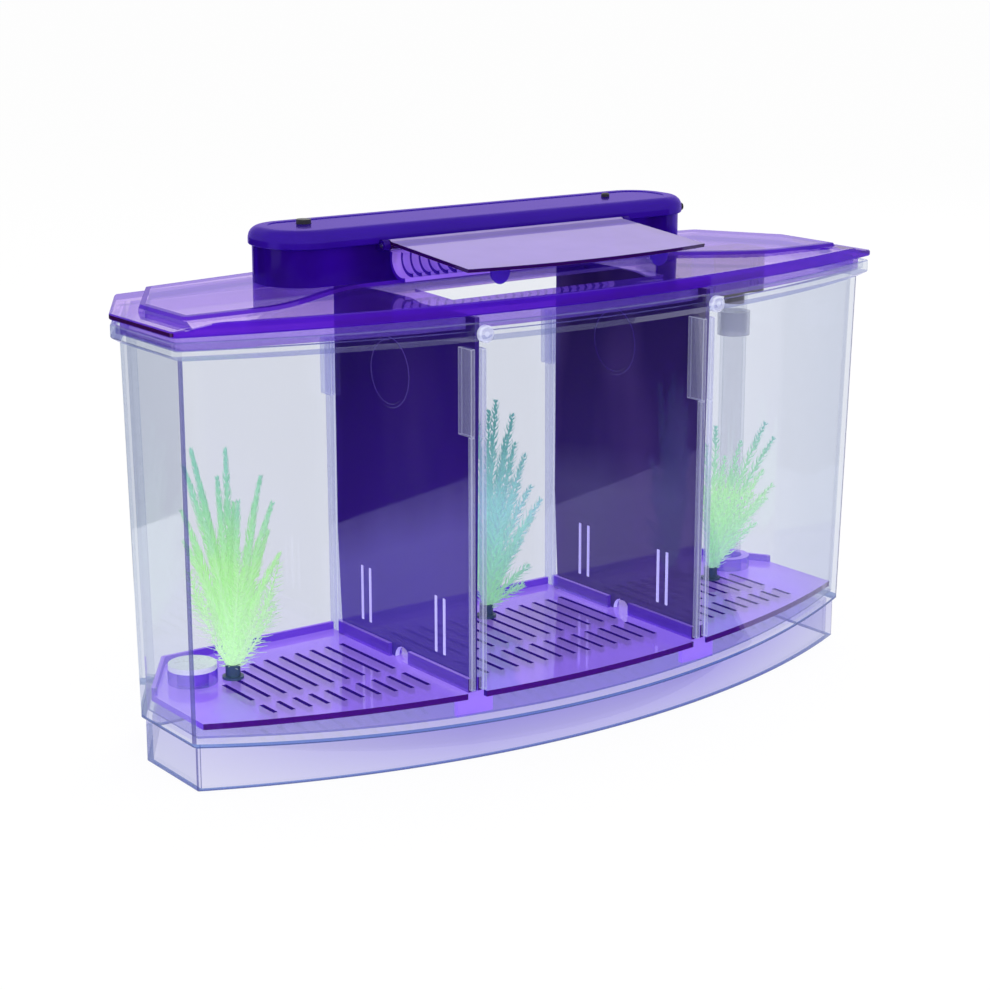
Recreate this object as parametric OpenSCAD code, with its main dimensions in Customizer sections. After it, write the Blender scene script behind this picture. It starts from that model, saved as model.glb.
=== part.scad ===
// Three-room breeding box for small fish: a clear bow-front tank, a slotted floor plate,
// two partitions, and a lid that carries a feeding flap, a light and filter housing and a pump.
// X runs along the width, -Y is the bowed front, +Z is up. The origin is on the table,
// under the middle of the whole box. All sizes are in millimetres.

/* [Tank] */
// Outer width of the walls just under the rim
tank_top_w = 282.6; // [240:0.1:320]
// Outer width of the walls at the floor
tank_bottom_w = 278.8; // [236:0.1:316]
// Height of the rim above the table
rim_top = 145.5; // [120:0.5:180]
// Thickness of the tank walls
wall = 2; // [1.6:0.1:3]
// Thickness of the tank floor
floor_t = 2; // [1.5:0.1:3]
// Height of the plinth under the floor at the side walls
plinth_h = 15; // [12:0.5:25]
// How far the plinth stands in from the walls
plinth_inset = 1.3; // [0.5:0.1:3]
// How much the floor falls toward the bowed front, per millimetre of depth
floor_fall = 0.11; // [0:0.01:0.15]
// Depth of the front bow at the rim
bow_top = 29; // [15:0.5:40]
// Depth of the front bow at the floor
bow_bottom = 31.8; // [15:0.1:40]
// Full width over the flared rim
rim_w = 289; // [260:0.5:330]

/* [Lid] */
// Full width of the lid flange
lid_w = 290; // [260:0.5:330]
// Depth of the front bow of the lid
lid_bow = 22.5; // [10:0.5:35]
// Thickness of the lid flange
flange_t = 2; // [1.5:0.1:3]
// Height of the raised middle of the lid over the flange
plateau_h = 2.5; // [1.5:0.1:8]
// Width of the raised middle of the lid
plateau_w = 272; // [240:1:280]
// Width of the feeding opening
opening_w = 88; // [60:1:92]

/* [Feeding flap] */
// Width of the flap
flap_w = 98; // [70:1:98]
// Distance from the hinge pin to the flap's front corners
flap_l = 45; // [30:0.5:45]
// Thickness of the flap
flap_t = 1.3; // [1:0.1:2]
// Angle by which the flap hangs below level as it is shown
flap_dip = 4.9; // [0:0.1:10]
// Diameter of the hinge pin
hinge_pin_d = 1.6; // [1.2:0.1:2]

/* [Light and filter housing] */
// Length of the housing
housing_l = 172; // [150:1:176]
// Depth of the housing from front to back
housing_w = 32; // [28:0.5:34]
// Height of the housing body under its cap
housing_h = 12.5; // [10:0.5:20]
// Height of the cap
cap_h = 6; // [5:0.5:10]
// How far the cap stands out past the body
cap_out = 1.3; // [0.5:0.1:2]
// Diameter of the power button
button_d = 5; // [4:0.5:7]
// Travel of the power button
button_travel = 0.6; // [0.4:0.1:0.8]

/* [Partitions] */
// Distance of each partition from the middle
partition_x = 48; // [40:1:52]
// Thickness of a partition
partition_t = 1.8; // [1.4:0.1:2.4]

/* [Floor plate] */
// Width of the floor plate
plate_w = 271; // [230:0.5:272]
// Thickness of the floor plate
plate_t = 2; // [1.5:0.1:3]
// Distance between neighbouring slots
slot_pitch = 6.1; // [5:0.1:8]
// Width of a slot
slot_w = 1.6; // [1:0.1:2.5]

/* [Pump and plants] */
// Outer diameter of the uplift tube
tube_d = 10; // [8:0.5:12]
// Length of the pump body
pump_l = 40; // [34:1:41]
// Height of the plants above their cups
plant_h = 78; // [40:1:85]

/* [Hidden] */
$fn = 48;
eps = 0.01;

// ---- shared plan outlines -------------------------------------------------
arc_steps = 32;
front_corner_top = -23;
front_corner_bottom = -20.5;
side_end = 15.5;
chamfer_cut = 18.8;
tank_back_top = 45.6;
tank_back_bottom = 44.6;
wall_top = 141;
plate_back = 41.5;
fall_start = front_corner_bottom;

// Points along a bow that bulges toward -Y between the corners (-half, y) and (half, y)
function bow(half, y, depth) =
    let (r = (half * half + depth * depth) / (2 * depth), a = asin(half / r))
    [for (i = [0 : arc_steps])
        let (t = -a + 2 * a * i / arc_steps)
        [r * sin(t), y - depth + r - r * cos(t)]];

// Closed outline: bowed front, straight sides, chamfered rear corners, and a back that
// may stand out by crown between the points at plus and minus crown_x
function plan(half, y, depth, side_y, cut_x, back_y, crown = 0, crown_x = 70) =
    concat(
        bow(half, y, depth),
        [[half, side_y], [half - cut_x, back_y]],
        crown > 0 ? [[crown_x, back_y + crown], [-crown_x, back_y + crown]] : [],
        [[cut_x - half, back_y], [-half, side_y]]);

function unit(v) = v / norm(v);
function outward(a, b) = let (d = unit(b - a)) [d.y, -d.x];

// The outline moved outward by e, or inward where e is negative
function grow(pts, e) =
    let (n = len(pts))
    [for (i = [0 : n - 1])
        let (
            before = outward(pts[(i + n - 1) % n], pts[i]),
            after = outward(pts[i], pts[(i + 1) % n]))
        pts[i] + e * (before + after) / (1 + before * after)];

tank_high = plan(tank_top_w / 2, front_corner_top, bow_top, side_end,
    chamfer_cut, tank_back_top);
tank_low = plan(tank_bottom_w / 2, front_corner_bottom, bow_bottom, side_end - 1,
    chamfer_cut, tank_back_bottom);
rim_plan = plan(rim_w / 2, -25.5, 28, side_end, chamfer_cut - 0.3, 47.4);
lid_plan = plan(lid_w / 2, -26, lid_bow, 15, 18.5, 47.4, 6.1);
skirt_plan = plan(rim_w / 2 - 2.7, front_corner_top - 0.2, lid_bow, 14, 17.8, tank_back_top - 0.9);
plate_plan = plan(plate_w / 2, front_corner_bottom + 0.5, 29.6, 14.5, 18, plate_back);

// ---- lid heights and the shape of its raised middle -------------------------
shelf_top = 142.5;
flange_z = 147;
flange_top = flange_z + flange_t;
plateau_top = flange_top + plateau_h;
lid_t = 2;
ledge_corner = -21.5;
ledge_bow = 9.5;
ridge_side = -17;
ridge_middle = 5;
ridge_x = [55, 108];
plateau_plan = plan(plateau_w / 2, ledge_corner - 3, ledge_bow, 12.3, 18, 42.5, 7.5);

// Height of the tank floor at a distance y from the middle
function floor_z(y) = plinth_h + floor_t + floor_fall * min(0, y - fall_start);
function smooth(t) = let (u = min(max(t, 0), 1)) u * u * (3 - 2 * u);
// Where the flat top of the raised middle ends toward the front, at a place along the width
function ridge(x) =
    ridge_middle + (ridge_side - ridge_middle) * smooth((abs(x) - ridge_x[0]) / (ridge_x[1] - ridge_x[0]));
// Where the sloping front of the raised middle starts on the flange
function ledge(x) = ledge_corner - ledge_bow * (1 - pow(x / (plateau_w / 2), 2));
// A point of the sloping front: t is 0 on the flange and 1 on the flat top
function slope_at(x, t) = [x, ledge(x) + (ridge(x) - ledge(x)) * t, flange_top + plateau_h * t];

// ---- flap, housing and light ------------------------------------------------
hinge_y = 2.2;
hinge_z = 163.8;
hinge_gap = 0.04;
knuckle_r = 1.8;
housing_front = 6;
housing_y = housing_front + housing_w / 2;
housing_r = 14;
housing_z = plateau_top;
housing_wall = 1.8;
housing_top = housing_z + housing_h;
cap_top = housing_top + cap_h;
button_at = [-67, 26];
lens_at = [60, 25];
board_z = housing_top - 1;
button_foot = cap_top - 3.1;
spring_foot = button_foot - 0.9;
screw_x = 74;
screw_ys = [14, 30];
post_r = 3;
screw_r = 1.25;
inlet_r = 1.4;
window = [150, 12];
window_y = 28;
led_count = 14;

chute_y = -2.6;
chute_z = 159.2;
chute_r = 6;
chute_half = 47;
chute_start = -14;
chute_sweep = 122;
chute_ribs = 25;
rib_pitch = 3.5;

// ---- plate, sockets, pump ---------------------------------------------------
plate_z = 20.2;
plate_top = plate_z + plate_t;
socket_at = [118, 18.5];
socket_r = 8.3;
socket_top = 27;
rail_gap = 0.35;
front_rail = [108, 136.5];
rear_rail = [107.5, 128];
tube_top = 130;
pump_at = [107.5, 18.5];
pump_w = 18;
pump_z = 131;
pump_top = 147;
chamber_at = [107.5, 139.5];
chamber_r = 7;
pump_front = pump_at.y - pump_w / 2;
cup_ats = [
    [-partition_x - 8.5 - 8 * slot_pitch, 14],
    [slot_pitch / 2, 20],
    [101, 9]];
cup_h = 4.8;
outlet_x = 78.2;

// ---- general solids ---------------------------------------------------------
// Solid between two outlines that have the same number of points
module loft(low, high, z0, z1) {
    n = len(low);
    polyhedron(
        points = concat([for (p = low) [p.x, p.y, z0]], [for (p = high) [p.x, p.y, z1]]),
        faces = concat(
            [[for (i = [0 : n - 1]) i]],
            [[for (i = [0 : n - 1]) 2 * n - 1 - i]],
            [for (i = [0 : n - 1]) [i, i + n, (i + 1) % n + n, (i + 1) % n]]));
}

// Slab with the given outline between two heights
module slab(pts, z0, z1) {
    translate([0, 0, z0])
        linear_extrude(z1 - z0) polygon(pts);
}

// Box between two opposite corners
module block(a, b) {
    translate(a) cube(b - a);
}

// Prism along X with a side profile given as (y, z) points
module side_prism(x0, x1, pts) {
    translate([x0, 0, 0])
        rotate([90, 0, 90])
            linear_extrude(x1 - x0) polygon(pts);
}

// Upright cylinder between two heights
module post(at, r, z0, z1) {
    translate([at.x, at.y, z0]) cylinder(h = z1 - z0, r = r);
}

// Cylinder along X
module rod(x0, x1, y, z, r) {
    translate([x0, y, z])
        rotate([0, 90, 0]) cylinder(h = x1 - x0, r = r);
}

module mirrored() {
    children();
    mirror([1, 0, 0]) children();
}

// Upright body with round ends, centred on the housing
module stadium(e, z0, z1) {
    half = [housing_l / 2 + e, housing_w / 2 + e];
    r = housing_r + e;
    for (sx = [-1, 1], sy = [-1, 1])
        post([sx * (half.x - r), housing_y + sy * (half.y - r)], r, z0, z1);
    block([-(half.x - r), housing_y - half.y, z0], [half.x - r, housing_y + half.y, z1]);
    block([-half.x, housing_y - half.y + r, z0], [half.x, housing_y + half.y - r, z1]);
}

// ---- tank -------------------------------------------------------------------
// Everything under the falling floor line, lowered by drop
module below_floor(drop) {
    side_prism(-200, 200, [
        [-80, -1],
        [80, -1],
        [80, plinth_h - drop],
        [fall_start, plinth_h - drop],
        [-80, plinth_h - drop + floor_fall * (-80 - fall_start)]]);
}

// A pair of guide rails that holds one edge of a partition
module guide_pair(x, y0, y1, z0, z1) {
    inside = partition_t / 2 + rail_gap;
    for (side = [-1, 1])
        block([x + min(side * inside, side * (inside + 1.6)), y0, z0],
            [x + max(side * inside, side * (inside + 1.6)), y1, z1]);
}

module tank() {
    low_z = plinth_h - 6;
    color([0.87, 0.92, 0.96, 0.35]) {
        difference() {
            union() {
                difference() {
                    loft(tank_low, tank_high, low_z, wall_top);
                    below_floor(0);
                }
                slab(grow(tank_low, -plinth_inset), 0, plinth_h + floor_t);
                loft(grow(tank_high, -0.5), rim_plan, wall_top - 1.5, wall_top + 0.5);
                slab(rim_plan, wall_top + 0.5, rim_top);
            }
            difference() {
                loft(grow(tank_low, -wall), grow(tank_high, -wall), low_z, rim_top + 1);
                below_floor(-floor_t);
            }
            intersection() {
                slab(grow(tank_low, -plinth_inset - wall), -1, plinth_h + floor_t);
                below_floor(0);
            }
            slab(grow(rim_plan, -1.7), shelf_top, rim_top + 1);
        }
        // round bosses on the rim over the front rails
        for (x = [-partition_x, partition_x])
            translate([x, -51.8, shelf_top - 0.6])
                rotate([-90, 0, 0]) cylinder(h = 2.4, r = 2.8);
        intersection() {
            loft(grow(tank_low, -wall / 2), grow(tank_high, -wall / 2), low_z, wall_top);
            for (x = [-partition_x, partition_x]) {
                guide_pair(x, -52, -39.5, front_rail[0], front_rail[1]);
                guide_pair(x, -52, -45.1, plate_top + 1, front_rail[0] + eps);
                guide_pair(x, 36.5, 50, rear_rail[0], rear_rail[1]);
                block([x - 0.9, 38, plinth_h + 1], [x + 0.9, 50, rear_rail[1]]);
            }
        }
    }
}

// ---- floor plate ------------------------------------------------------------
// Rear and front slots at one place along the width
module slot_pair(x) {
    rear_end = min(24, 24 - 0.75 * (abs(x) - 92));
    front_end = -32.5 + 0.0007 * x * x;
    block([x - slot_w / 2, -9.5, plate_z - 1], [x + slot_w / 2, rear_end, plate_top + 1]);
    block([x - slot_w / 2, front_end, plate_z - 1], [x + slot_w / 2, -15, plate_top + 1]);
}

// Low walls that hold the foot of a partition, with a gap at the drain arch
module foot_channel(x) {
    inside = partition_t / 2 + rail_gap;
    for (side = [-1, 1], span = [[-44.5, -9], [2.6, 34.8]])
        block([x + min(side * inside, side * (inside + 1.4)), span[0], plate_top - eps],
            [x + max(side * inside, side * (inside + 1.4)), span[1], plate_top + 4.6]);
}

module floor_plate() {
    color([0.68, 0.56, 0.95, 0.7]) {
        difference() {
            union() {
                slab(plate_plan, plate_z, plate_top);
                difference() {
                    slab(plate_plan, plate_z, plate_top + 2.6);
                    slab(grow(plate_plan, -1.4), plate_z - 1, plate_top + 4);
                    block([-200, -80, plate_top], [200, 13, plate_top + 4]);
                }
                mirrored() post(socket_at, socket_r, plate_z, socket_top);
                mirrored() foot_channel(partition_x);
                // feet that stand on the tank floor
                mirrored() {
                    block([partition_x - 7, -44.8, floor_z(-42.8)], [partition_x + 7, -42.8, plate_top]);
                    block([partition_x - 7, 30, floor_z(30)], [partition_x + 7, 32, plate_top]);
                    block([124, -14, floor_z(-14)], [126, 6, plate_top]);
                }
            }
            mirrored() {
                post(socket_at, tube_d / 2 + 0.35, plate_z - 1, socket_top + 1);
                // room for the rails in front of the partitions and the fins behind them
                block([partition_x - 3.4, -60, plate_z - 1], [partition_x + 3.4, -44.8, plate_top + 4]);
                block([partition_x - 1.4, 37.4, plate_z - 1], [partition_x + 1.4, 50, plate_top + 4]);
            }
            for (i = [0 : 9]) {
                mirrored() slot_pair(partition_x + 8.5 + i * slot_pitch);
            }
            for (i = [0 : 13])
                slot_pair((i - 6.5) * slot_pitch);
        }
    }
}

// Push-in plug that closes the spare socket
module socket_plug() {
    color([0.95, 0.95, 0.95]) {
        mirror([1, 0, 0]) {
            post(socket_at, socket_r - 0.2, socket_top, socket_top + 1.8);
            post(socket_at, tube_d / 2 + 0.3, socket_top - 5, socket_top + eps);
        }
    }
}

// ---- partitions -------------------------------------------------------------
module partition(x) {
    foot = plate_top;
    color([0.12, 0.02, 0.35, 0.95]) {
        difference() {
            union() {
                side_prism(x - partition_t / 2, x + partition_t / 2, [
                    [-44.4, foot],
                    [35, foot],
                    [37.2, 60],
                    [37.2, 147.6],
                    [-8, 147.6],
                    [-14, 146.5],
                    [-46.2, 146.5]]);
                // raised ring round the finger hold
                rod(x - partition_t / 2 - 0.4, x + partition_t / 2 + 0.4, 3, 121.2, 12);
            }
            rod(x - 5, x + 5, 3, 121.2, 10.8);
            // drain arch at the foot
            rod(x - 5, x + 5, -3.2, foot, 4.4);
            // two pairs of water slots
            for (y = [21.5, 16.6, -23.5, -28.3])
                block([x - 5, y - 0.7, 30.5], [x + 5, y + 0.7, 50]);
        }
        rod(x - partition_t / 2, x + partition_t / 2, 3, 121.2, 10.8 + eps);
    }
}
module partition_left() partition(-partition_x);
module partition_right() partition(partition_x);

// ---- lid --------------------------------------------------------------------
// Everything above the sloping front of the raised middle
module above_slope() {
    steps = 36;
    reach = plateau_w / 2 + 5;
    over = plateau_top + 10;
    below = -0.4;
    past = 1.4;
    xs = [for (i = [0 : steps]) reach * (2 * i / steps - 1)];
    polyhedron(
        points = [for (x = xs)
            let (a = slope_at(x, below), b = slope_at(x, past))
            each [a, b, [x, b.y, over], [x, a.y - 8, over]]],
        faces = concat(
            [[0, 1, 2, 3]],
            [[for (k = [3 : -1 : 0]) 4 * steps + k]],
            [for (i = [0 : steps - 1], k = [0 : 3])
                [4 * i + k, 4 * i + 4 + k, 4 * i + 4 + (k + 1) % 4, 4 * i + (k + 1) % 4]]));
}

// Raised middle of the lid, with all its faces moved inward by e
module raised_middle(e) {
    difference() {
        slab(grow(plateau_plan, -e), flange_top - 1 - e, plateau_top - e);
        translate([0, 0, -e]) above_slope();
    }
}

module lid() {
    color([0.45, 0.2, 0.85, 0.55]) {
        difference() {
            union() {
                slab(lid_plan, flange_z, flange_top);
                raised_middle(0);
                // skirt that stands on the shelf of the rim, notched round the partitions
                difference() {
                    slab(skirt_plan, shelf_top, flange_z + 0.6);
                    slab(grow(skirt_plan, -1.8), shelf_top - 1, flange_z + 1);
                    for (x = [-partition_x, partition_x])
                        block([x - 2.2, -60, shelf_top - 1], [x + 2.2, 0, flange_z - 0.3]);
                }
            }
            raised_middle(lid_t);
            // feeding opening under the flap
            block([-opening_w / 2, -27.2, flange_z - 2], [opening_w / 2, -5.5, plateau_top + 1]);
            // slots for the two catches of the flap
            for (x = [-33, 33])
                block([x - 4.5, -37.6, flange_z - 2], [x + 4.5, -32.6, flange_top + 1]);
            // light and water opening under the housing
            block([-82, 9.5, flange_z - 2], [82, 34.5, plateau_top + 1]);
        }
    }
}

// Curved trough under the hinge, ribbed inside, that leads the water to the opening
module outlet_chute() {
    wide = 2 * chute_half;
    color([0.4, 0.15, 0.8, 0.7]) {
        translate([-chute_half, chute_y, chute_z]) {
            rotate([0, 90, 0]) {
                rotate([0, 0, chute_start])
                    rotate_extrude(angle = chute_sweep)
                        translate([chute_r, 0]) square([1.3, wide]);
                for (i = [1 : chute_ribs])
                    translate([0, 0, i * rib_pitch])
                        rotate([0, 0, chute_start + 1])
                            rotate_extrude(angle = chute_sweep - 2)
                                translate([chute_r - 1.2, 0]) square([1.3, 1.2]);
            }
        }
        // tabs that join the trough to the front of the housing
        for (x = [-45.7, -15.9, 14.5, 44.3])
            block([x, chute_y + chute_r + 0.5, chute_z - 2], [x + 1.4, housing_front, chute_z + 2]);
    }
}

// ---- feeding flap -----------------------------------------------------------
module feeding_flap() {
    flap_plan = concat(bow(flap_w / 2, -flap_l, 3.5), [[flap_w / 2, 0], [-flap_w / 2, 0]]);
    color([0.72, 0.66, 0.88, 0.8]) {
        translate([0, hinge_y, hinge_z]) {
            rotate([flap_dip, 0, 0]) {
                difference() {
                    union() {
                        rod(-flap_w / 2, flap_w / 2, 0, 0, knuckle_r);
                        slab(flap_plan, 0.1, 0.1 + flap_t);
                        for (x = [-33, 33])
                            translate([x, -39.6, 0.2])
                                rotate([90, 0, 0]) {
                                    translate([0, -2.5, 0]) cylinder(h = 1.5, r = 3.5);
                                    translate([-3.5, -2.5, 0]) cube([7, 2.6, 1.5]);
                                }
                    }
                    rod(-60, 60, 0, 0, hinge_pin_d / 2 + hinge_gap);
                }
            }
        }
    }
}

module flap_hinge_pin() {
    color("silver")
        rod(-flap_w / 2 - 3.2, flap_w / 2 + 3.2, hinge_y, hinge_z, hinge_pin_d / 2);
}

// ---- light and filter housing -----------------------------------------------
module housing_body() {
    color([0.2, 0.03, 0.5, 0.9]) {
        difference() {
            union() {
                difference() {
                    stadium(0, housing_z, housing_top);
                    stadium(-housing_wall, housing_z + 2, housing_top + 1);
                }
                // posts for the cap screws
                for (x = [-screw_x, screw_x], y = screw_ys)
                    post([x, y], post_r, housing_z + 1, housing_top - 0.1);
                // standoffs of the control board
                for (y = [11, 33])
                    post([-60, y], 1.8, housing_z + 1, board_z);
                // weir between the electronics and the sponge
                block([-48, 7, housing_z + 1], [-46.4, 37, housing_top - 2.5]);
                // lugs that carry the hinge pin of the flap
                mirrored() {
                    rod(flap_w / 2 + 0.5, flap_w / 2 + 2.9, hinge_y, hinge_z, 1.9);
                    block([flap_w / 2 + 0.5, hinge_y, hinge_z - 1.9],
                        [flap_w / 2 + 2.9, 7, housing_top - 0.1]);
                }
            }
            mirrored()
                rod(flap_w / 2, flap_w / 2 + 3.2, hinge_y, hinge_z, hinge_pin_d / 2);
            for (x = [-screw_x, screw_x], y = screw_ys) {
                post([x, y], screw_r + 0.15, housing_z - 1, housing_top + 1);
                post([x, y], 2.5, housing_z - 1, housing_z + 1.6);
            }
            // water outlet toward the chute
            block([-40, 0, housing_z + 4.2], [40, 8.5, housing_z + 7]);
            // half of the hole for the supply inlet
            rod(housing_l / 2 - 3, housing_l / 2 + 3, housing_y, housing_top, inlet_r);
            // hole for the pump outlet
            post([outlet_x, housing_y], 3.1, housing_z - 1, housing_z + 3);
        }
    }
}

// Bullnosed slab with round ends
module pillow(e, z0, z1, r) {
    half = [housing_l / 2 + e, housing_w / 2 + e];
    end_r = housing_r + e;
    hull() {
        for (sx = [-1, 1], sy = [-1, 1])
            translate([sx * (half.x - end_r), housing_y + sy * (half.y - end_r), z0])
                rotate_extrude($fn = 40)
                    polygon(concat(
                        [[0, 0], [end_r, 0]],
                        [for (a = [0 : 15 : 90]) [end_r - r + r * cos(a), z1 - z0 - r + r * sin(a)]],
                        [[0, z1 - z0]]));
    }
}

module housing_cap() {
    color([0.25, 0.05, 0.6, 0.95]) {
        difference() {
            union() {
                difference() {
                    pillow(cap_out, housing_top, cap_top, 4);
                    pillow(cap_out - 1.8, housing_top - 1, cap_top - 1.8, 3);
                }
                for (x = [-screw_x, screw_x], y = screw_ys)
                    post([x, y], 2.6, housing_top, cap_top - 1);
            }
            for (x = [-screw_x, screw_x], y = screw_ys)
                post([x, y], screw_r, housing_top - 1, housing_top + 3.8);
            post(button_at, button_d / 2 + 0.1, cap_top - 3, cap_top + 1);
            post(lens_at, 1.5, cap_top - 3, cap_top + 1);
            rod(housing_l / 2 - 3, housing_l / 2 + 3, housing_y, housing_top, inlet_r);
        }
    }
}

// Four self-tapping screws, driven upward through the posts of the housing
module cap_screws() {
    color("silver")
        for (x = [-screw_x, screw_x], y = screw_ys) {
            post([x, y], screw_r, housing_z + 1.5, housing_top + 3.6);
            difference() {
                post([x, y], 2.3, housing_z + 0.1, housing_z + 1.6);
                block([x - 1.5, y - 0.25, housing_z - 1], [x + 1.5, y + 0.25, housing_z + 0.8]);
                block([x - 0.25, y - 1.5, housing_z - 1], [x + 0.25, y + 1.5, housing_z + 0.8]);
            }
        }
}

module power_button() {
    color([0.06, 0.06, 0.07]) {
        post(button_at, button_d / 2, button_foot, cap_top + 1.2);
        post(button_at, button_d / 2 + 0.9, button_foot, button_foot + 1.2);
    }
}

// Coil spring that lifts the button, as a plain sleeve of its outer size
module button_spring() {
    color("silver")
        difference() {
            post(button_at, 2.2, spring_foot, button_foot);
            post(button_at, 1.7, spring_foot - 1, button_foot + 1);
        }
}

module indicator_lens() {
    color([0.08, 0.08, 0.1])
        translate([lens_at.x, lens_at.y, cap_top - 2]) {
            cylinder(h = 2.6, r = 1.5);
            translate([0, 0, 2.6]) cylinder(h = 0.4, r1 = 1.5, r2 = 1);
            translate([0, 0, -0.8]) cylinder(h = 0.8, r = 2.2);
        }
}

// Rubber bush of the low-voltage supply inlet
module power_inlet() {
    color([0.05, 0.05, 0.05]) {
        difference() {
            rod(housing_l / 2 - 2.6, housing_l / 2 + 7.6, housing_y, housing_top, inlet_r);
            rod(housing_l / 2 + 3, housing_l / 2 + 8, housing_y, housing_top, 0.7);
        }
    }
}

module control_board() {
    color("darkgreen")
        block([-70.5, 9.5, board_z], [-50, 34.5, board_z + 1.2]);
}

module button_switch() {
    color([0.15, 0.15, 0.16])
        block([button_at.x - 3, button_at.y - 3, board_z + 1.2],
            [button_at.x + 3, button_at.y + 3, spring_foot]);
}

// ---- light ------------------------------------------------------------------
module led_board() {
    color([0.9, 0.92, 0.9])
        block([-window.x / 2 + 3, window_y - 4.4, housing_z - 1.2],
            [window.x / 2 - 3, window_y + 4.4, housing_z - 0.2]);
}

module led_chips() {
    pitch = (window.x - 16) / (led_count - 1);
    color([0.98, 0.95, 0.75])
        for (i = [0 : led_count - 1])
            translate([-window.x / 2 + 8 + i * pitch, window_y, housing_z - 1.9])
                translate([-1.6, -1.4, 0]) cube([3.2, 2.8, 0.7]);
}

// Clear channel that seals the light from the water
module led_cover() {
    w = window / 2;
    color([0.85, 0.9, 0.95, 0.4])
        difference() {
            block([-w.x, window_y - w.y, housing_z - 3.1], [w.x, window_y + w.y, housing_z]);
            block([-w.x + 1.2, window_y - w.y + 1.2, housing_z - 2.1],
                [w.x - 1.2, window_y + w.y - 1.2, housing_z + 1]);
        }
}

module filter_sponge() {
    color([0.12, 0.13, 0.15])
        block([-45.5, 10.5, housing_z + 2], [66, 33.5, housing_z + 9]);
}

// ---- pump -------------------------------------------------------------------
// Strap that hangs the pump from the lid
module pump_bracket() {
    x = pump_at.x - pump_l / 2 + 5.5;
    color([0.4, 0.18, 0.8, 0.8]) {
        block([x - 5, pump_front - 1.9, pump_top], [x + 5, pump_front + pump_w + 1.9, pump_top + 2.5]);
        for (y = [pump_front - 1.9, pump_front + pump_w + 0.3])
            block([x - 5, y, pump_z - 1.4], [x + 5, y + 1.6, pump_top + eps]);
        for (y = [pump_front - 1.9, pump_front + pump_w - 1.1])
            block([x - 5, y, pump_z - 1.8], [x + 5, y + 3, pump_z - 0.2]);
    }
}

module pump_body() {
    x0 = pump_at.x - pump_l / 2;
    x1 = pump_at.x + pump_l / 2;
    y0 = pump_front;
    y1 = pump_front + pump_w;
    r = 5;
    color([0.1, 0.1, 0.12]) {
        difference() {
            union() {
                block([x0, y0, pump_z], [x1 - r, y1, pump_top - 0.1]);
                block([x0, y0 + r, pump_z], [x1, y1 - r, pump_top - 0.1]);
                for (y = [y0 + r, y1 - r]) post([x1 - r, y], r, pump_z, pump_top - 0.1);
                post(socket_at, tube_d / 2 - 1.1, tube_top - 4, pump_z + eps);
            }
            // impeller chamber, magnet well and shaft seat
            translate([chamber_at.x, y0 - 1, chamber_at.y])
                rotate([-90, 0, 0]) {
                    cylinder(h = 5.5, r = chamber_r);
                    cylinder(h = 15, r = 4.3);
                    cylinder(h = 17, r = 0.7);
                }
            // water way from the tube to the chamber
            post(socket_at, 2.6, tube_top - 5, chamber_at.y);
            block([chamber_at.x, y0 + 1, chamber_at.y - 2.5], [socket_at.x, y0 + 4, chamber_at.y + 2.5]);
            block([socket_at.x - 2.5, y0 + 1, chamber_at.y - 2.5], [socket_at.x + 2.5, socket_at.y, chamber_at.y]);
            // outlet bore
            rod(x0 - 1, chamber_at.x, y0 + 4, chamber_at.y + 3.5, 2.2);
        }
    }
}

// Slotted cover over the impeller chamber
module pump_cover() {
    x0 = pump_at.x - pump_l / 2;
    color([0.16, 0.16, 0.2])
        difference() {
            block([x0 + 11.5, pump_front - 1.6, pump_z + 1], [x0 + 34.5, pump_front, pump_top - 1.2]);
            for (i = [0 : 2])
                block([x0 + 28.3 + i * 2, pump_front - 2, pump_z + 3],
                    [x0 + 29.3 + i * 2, pump_front - 0.6, pump_top - 3]);
            translate([chamber_at.x, pump_front - 1, chamber_at.y])
                rotate([-90, 0, 0]) cylinder(h = 2, r = 0.7);
        }
}

module impeller_shaft() {
    color("silver")
        translate([chamber_at.x, pump_front - 0.9, chamber_at.y])
            rotate([-90, 0, 0]) cylinder(h = 16.4, r = 0.7);
}

module impeller() {
    color("white")
        translate([chamber_at.x, pump_front, chamber_at.y])
            rotate([-90, 0, 0])
                difference() {
                    union() {
                        translate([0, 0, 4.9]) cylinder(h = 8.5, r = 3.9);
                        translate([0, 0, 0.6]) cylinder(h = 4.4, r = 1.8);
                        for (a = [0 : 60 : 300])
                            rotate([0, 0, a])
                                translate([0.5, -0.4, 0.6]) cube([5.7, 0.8, 3.3]);
                    }
                    translate([0, 0, -1]) cylinder(h = 20, r = 0.75);
                }
}

// Box elbow that takes the water up into the housing
module pump_outlet() {
    x0 = pump_at.x - pump_l / 2;
    y = pump_front + 4;
    z = chamber_at.y + 3.5;
    color([0.85, 0.88, 0.92])
        difference() {
            union() {
                rod(outlet_x, x0, y, z, 2.9);
                block([outlet_x - 3.2, y - 3.2, z - 3.2], [outlet_x + 3.2, housing_y + 3.2, z + 3.2]);
                post([outlet_x, housing_y], 2.9, z, housing_z + 4);
            }
            rod(outlet_x, x0 + 1, y, z, 1.9);
            block([outlet_x - 2, y - 2, z - 2], [outlet_x + 2, housing_y + 2, z + 2]);
            post([outlet_x, housing_y], 1.9, z, housing_z + 5);
        }
}

// ---- uplift tube ------------------------------------------------------------
module uplift_tube() {
    color([0.88, 0.92, 0.95, 0.5])
        difference() {
            post(socket_at, tube_d / 2, plate_z + 0.3, tube_top);
            post(socket_at, tube_d / 2 - 1.1, plate_z - 1, tube_top + 1);
        }
}

module tube_collar() {
    color([0.75, 0.78, 0.82])
        difference() {
            post(socket_at, tube_d / 2 + 1.2, 114, 123);
            post(socket_at, tube_d / 2, 113, 124);
        }
}

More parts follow.
